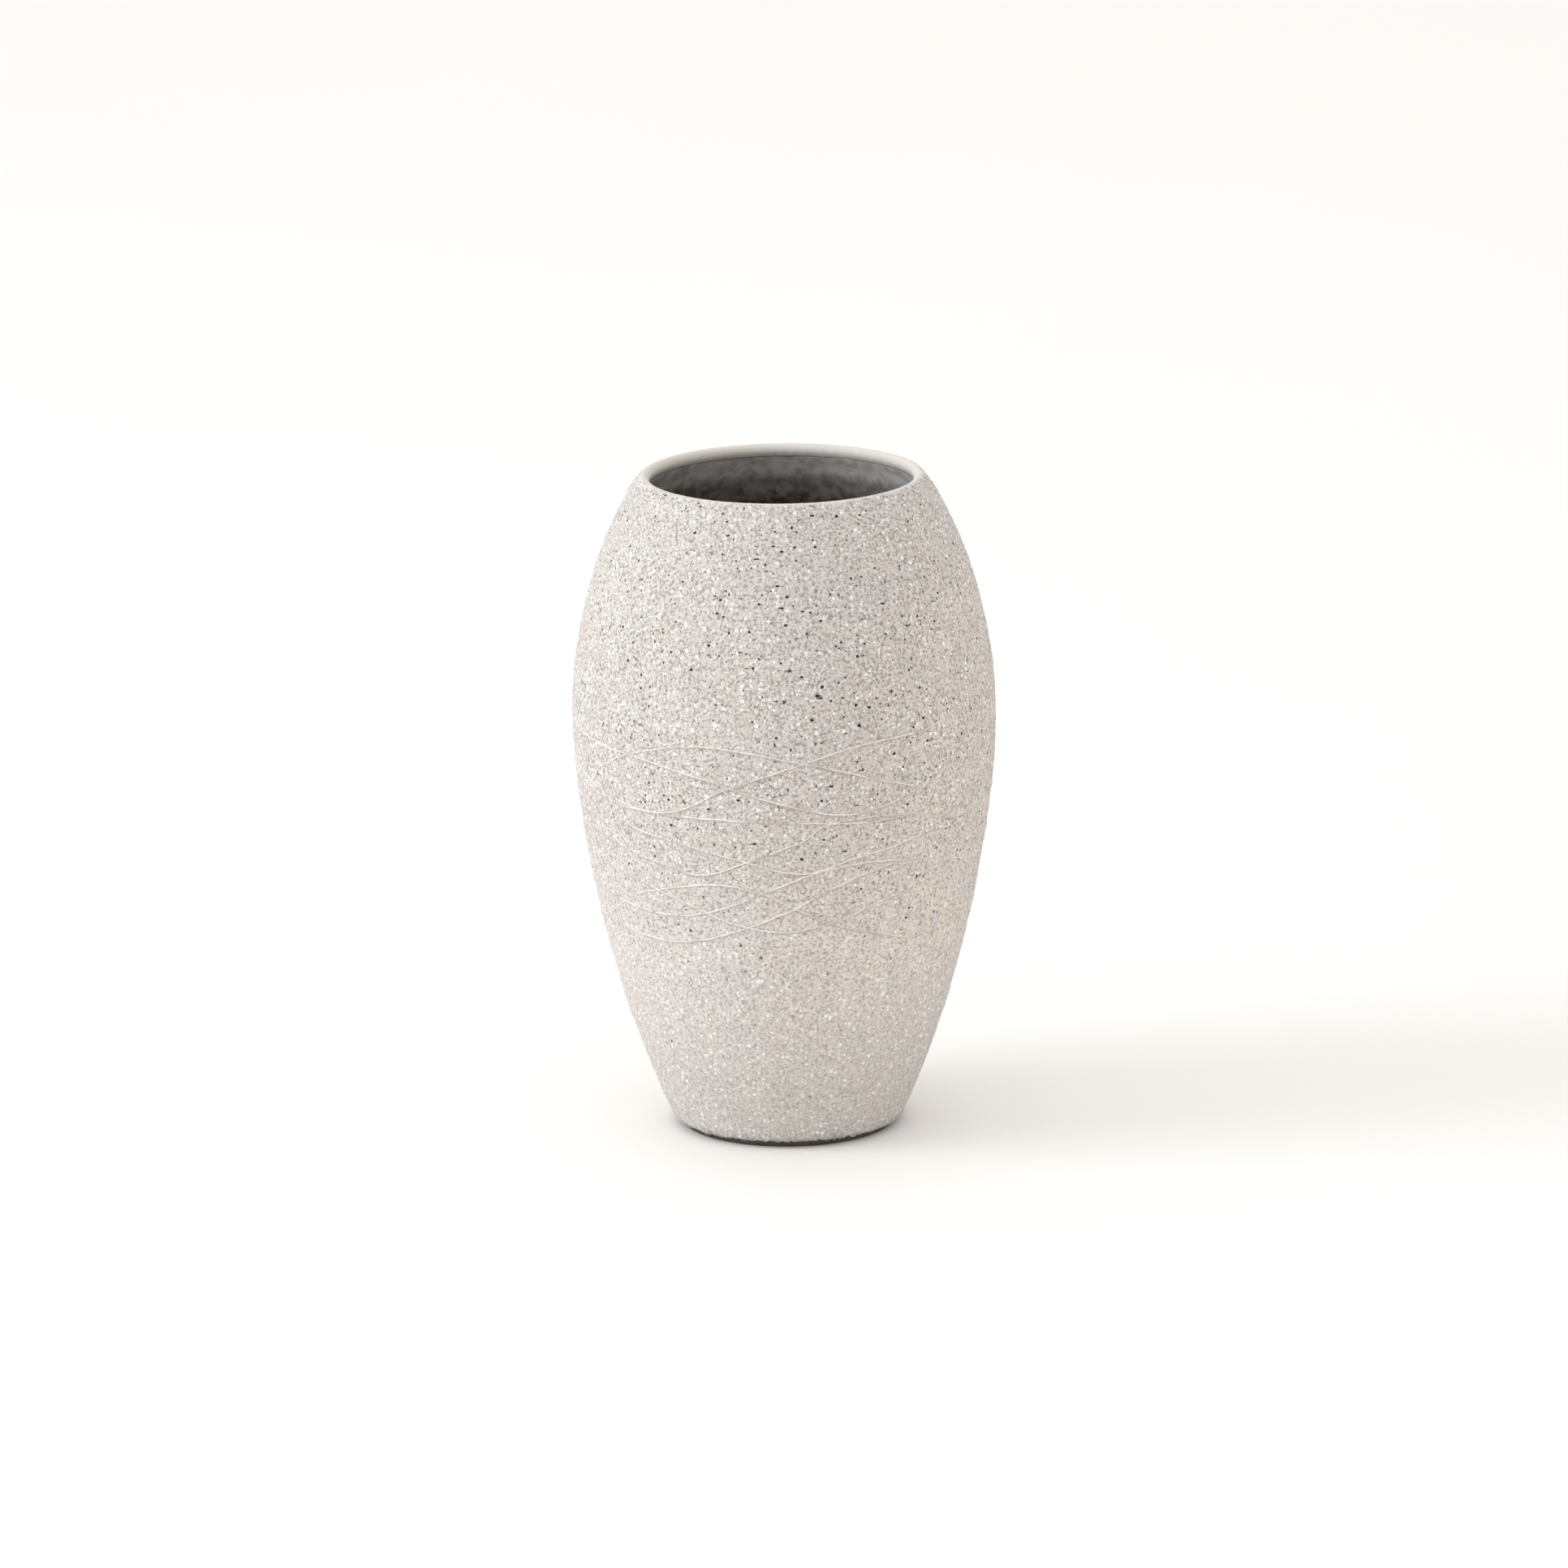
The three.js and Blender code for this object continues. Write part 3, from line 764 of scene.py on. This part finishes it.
def linerGlazeMaterial():
    # An iron-brown satin glaze that broke into cloudy mottles where it ran thin: dark, soft shine
    material, tree, surface = startMaterial("mottled satin liner glaze")
    place = addNode(tree, "ShaderNodeTexCoord").outputs["Object"]
    cloud = addNode(tree, "ShaderNodeTexNoise", {"Scale": perMetre(2.4), "Detail": 4.0, "Roughness": 0.6,
                                                 "Distortion": 0.3}, {"Vector": place}).outputs["Fac"]
    spread = addNode(tree, "ShaderNodeMapRange", {"From Min": 0.36, "From Max": 0.66}, {"Value": cloud},
                     interpolation_type="SMOOTHSTEP").outputs["Result"]
    tone = painted(tree, liner["brown"], liner["thinBrown"], spread)
    # painted light inside the rim: the glaze drawn paler near the top, reaching further down on the right
    # where the lamp at the left shines in
    axes = addNode(tree, "ShaderNodeSeparateXYZ", {}, {"Vector": place})
    tilted = addNode(tree, "ShaderNodeMath", {1: liner["rimLightTilt"]},
                     {0: axes.outputs["X"], 2: axes.outputs["Z"]},
                     operation="MULTIPLY_ADD").outputs[0]
    rimLight = addNode(tree, "ShaderNodeMapRange",
                   {"From Min": liner["rimLightFrom"] * mm, "From Max": liner["rimLightTo"] * mm, "To Max": 1.0},
                   {"Value": tilted}, interpolation_type="SMOOTHSTEP").outputs["Result"]
    patchy = addNode(tree, "ShaderNodeMapRange", {"From Min": 0.3, "From Max": 0.6, "To Min": 0.60},
                     {"Value": cloud}).outputs["Result"]
    rimLit = painted(tree, tone, liner["rimLight"], product(tree, rimLight, patchy))
    crumbs = addNode(tree, "ShaderNodeTexNoise", {"Scale": perMetre(1.2), "Detail": 2.0},
                     {"Vector": place}).outputs["Fac"]
    rough = addNode(tree, "ShaderNodeMapRange", {"To Min": 0.42, "To Max": 0.60}, {"Value": crumbs})
    bump = addNode(tree, "ShaderNodeBump", {"Strength": 0.35, "Distance": 0.2 * mm}, {"Height": crumbs})
    tree.links.new(rimLit, surface.inputs["Base Color"])
    tree.links.new(rough.outputs["Result"], surface.inputs["Roughness"])
    tree.links.new(bump.outputs["Normal"], surface.inputs["Normal"])
    surface.inputs["IOR"].default_value = 1.52
    return material


print("liner glaze")
linerGlaze = makeLiner()
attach(linerGlaze, "root")
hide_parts("inner_glaze")


clay = {
    "turnSteps": 256,
    "rowStep": 1.2,
    "footInset": 0.8,    # how far the foot ring stands in from the coat's edge
    "ringWidth": 5.4,
    "recess": 1.9,       # how deep the middle of the foot is cut
    "trimPitch": 0.9,    # the turning tool's spiral under the foot, mm
    "trimDepth": 0.05,
    "dark": "#39332E",
    "worn": "#5A5048",
    "sand": "#8A7F74",
}


def makeClay():
    outside = outline - outlineOut * clayDepth
    ringOut = outside[0, 0] - clay["footInset"]
    ringIn = ringOut - clay["ringWidth"]
    recess = clay["recess"]
    # radius and height: the cut middle, the ring it stands on, and the bevel up to the coat
    under = np.array([[0, recess], [ringIn - recess - 0.6, recess], [ringIn - 1.0, recess * 0.75],
                      [ringIn - 0.3, 0.25], [ringIn + 0.35, 0.0], [ringOut - 0.3, 0.0],
                      [ringOut - 0.05, 0.15], [ringOut, 0.45],
                      [outside[0, 0] - 0.3, outside[0, 1] - 0.35], outside[0]])
    foot, _ = resample(under, 0.3)
    wall, _ = resample(outside, clay["rowStep"])
    turn = np.linspace(0, math.pi, 12)[1:-1, None]
    inside = cavitySection(0.0, top=2 * potHeight)[::-1]
    radius = math.hypot(*(wall[-1] - inside[0])) / 2
    middle = (wall[-1] + inside[0]) / 2
    cap = middle + radius * (np.cos(turn) * outlineOut[-1] + np.sin(turn) * outlineAlong[-1])
    cavity, _ = resample(inside, clay["rowStep"] * 2)
    line = np.concatenate([foot, wall[1:], cap, cavity])
    turns = clay["turnSteps"]
    angle = np.arange(turns) * 2 * math.pi / turns
    rise = np.zeros((len(line), turns))
    groove = np.sin(2 * math.pi * (foot[:, :1] / clay["trimPitch"]) + angle)
    offRing = smoothStep(0.4, 1.2, foot[:, 1])[:, None]
    rise[:len(foot)] = -clay["trimDepth"] * (0.5 + 0.5 * groove) * offRing
    rise[:len(foot)] *= (foot[:, 0] < ringIn)[:, None]
    rows = turnRows(line, outwardOf(line), rise, turns)
    rows[0, :, :2] = 0
    rows[-1, :, :2] = 0
    return turnedMesh("clayBody", rows, bareClayMaterial())


def bareClayMaterial():
    # Iron-rich stoneware fired bare: nearly black-brown, dry, with sand just showing in it
    material, tree, surface = startMaterial("bare dark stoneware")
    place = addNode(tree, "ShaderNodeTexCoord").outputs["Object"]
    sand = addNode(tree, "ShaderNodeTexVoronoi", {"Scale": perMetre(0.7)},
                   {"Vector": place}).outputs["Distance"]
    cloud = addNode(tree, "ShaderNodeTexNoise", {"Scale": perMetre(5.0), "Detail": 4.0},
                    {"Vector": place}).outputs["Fac"]
    ground = painted(tree, clay["dark"], clay["worn"], cloud)
    grit = addNode(tree, "ShaderNodeMapRange",
                   {"From Min": 0.05, "From Max": 0.2, "To Min": 0.5, "To Max": 0.0},
                   {"Value": sand}).outputs["Result"]
    tone = painted(tree, ground, clay["sand"], grit)
    bump = addNode(tree, "ShaderNodeBump", {"Strength": 0.5, "Distance": 0.1 * mm}, {"Height": sand})
    tree.links.new(tone, surface.inputs["Base Color"])
    tree.links.new(bump.outputs["Normal"], surface.inputs["Normal"])
    surface.inputs["Roughness"].default_value = 0.9
    surface.inputs["IOR"].default_value = 1.5
    return material


print("clay body")
clayBody = makeClay()
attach(clayBody, "root")
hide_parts("clay_body")


studio = {
    "floorTone": "#F1EFEC",
    "floorPatch": "#F6F4F1",
    "floorReach": 9.0,     # metres
    "skyLevel": 1.05,
    "skyTint": (1.0, 0.99, 0.98),
    "keyPlace": (-1.23, -0.25, 0.60),   # metres from the pot, at the left of the camera
    "keySize": 0.8,
    "keyPower": 9.2,
    "keyTint": (0.90, 0.96, 1.0),
}
view = {
    "elevation": 14.3,
    "distance": 2.212,     # metres
    "focal": 241.1,        # mm on a 36 mm sensor
    "aim": (-0.0002, 0.0, 0.0730),
    "roll": 0.65,
}


def floorMaterial():
    # Matte painted board, faintly uneven
    material, tree, surface = startMaterial("matte painted board")
    place = addNode(tree, "ShaderNodeTexCoord").outputs["Object"]
    noise = addNode(tree, "ShaderNodeTexNoise", {"Scale": 3.0, "Detail": 3.0},
                    {"Vector": place}).outputs["Fac"]
    tone = painted(tree, studio["floorTone"], studio["floorPatch"], noise)
    tree.links.new(tone, surface.inputs["Base Color"])
    surface.inputs["Roughness"].default_value = 0.85
    return material


def makeFloor():
    angle = np.linspace(0, 2 * math.pi, 96, endpoint=False)
    reach = studio["floorReach"]
    points = [(reach * math.sin(a), -reach * math.cos(a), 0.0) for a in angle]
    mesh = bpy.data.meshes.new("floor")
    mesh.from_pydata(points, [], [tuple(range(len(points)))])
    mesh.materials.append(floorMaterial())
    floor = bpy.data.objects.new("floor", mesh)
    scene.collection.objects.link(floor)
    return floor


def makeLamp(name, place, size, power, colour):
    lamp = bpy.data.lights.new(name, "AREA")
    lamp.shape = "DISK"
    lamp.size = size
    lamp.energy = power
    lamp.color = colour
    holder = bpy.data.objects.new(name, lamp)
    holder.location = place
    toPot = Vector((0, 0, 0.07)) - Vector(place)
    holder.rotation_euler = toPot.to_track_quat("-Z", "Y").to_euler()
    scene.collection.objects.link(holder)
    return holder


makeFloor()
makeLamp("softKey", studio["keyPlace"], studio["keySize"], studio["keyPower"], studio["keyTint"])

world = bpy.data.worlds.new("studio")
world.use_nodes = True
world.node_tree.nodes["Background"].inputs["Color"].default_value = studio["skyTint"] + (1.0,)
world.node_tree.nodes["Background"].inputs["Strength"].default_value = studio["skyLevel"]
scene.world = world
scene.view_settings.view_transform = "Standard"

lens = bpy.data.cameras.new("camera")
lens.lens = view["focal"]
lens.sensor_width = 36.0
lens.clip_end = 50.0
camera = bpy.data.objects.new("camera", lens)
tilt = math.radians(view["elevation"])
away = Vector((0, -math.cos(tilt), math.sin(tilt)))
camera.location = Vector(view["aim"]) + away * view["distance"]
camera.rotation_euler = (away.to_track_quat("Z", "Y").to_matrix()
                         @ Matrix.Rotation(math.radians(-view["roll"]), 3, "Z")).to_euler()
scene.collection.objects.link(camera)
scene.camera = camera
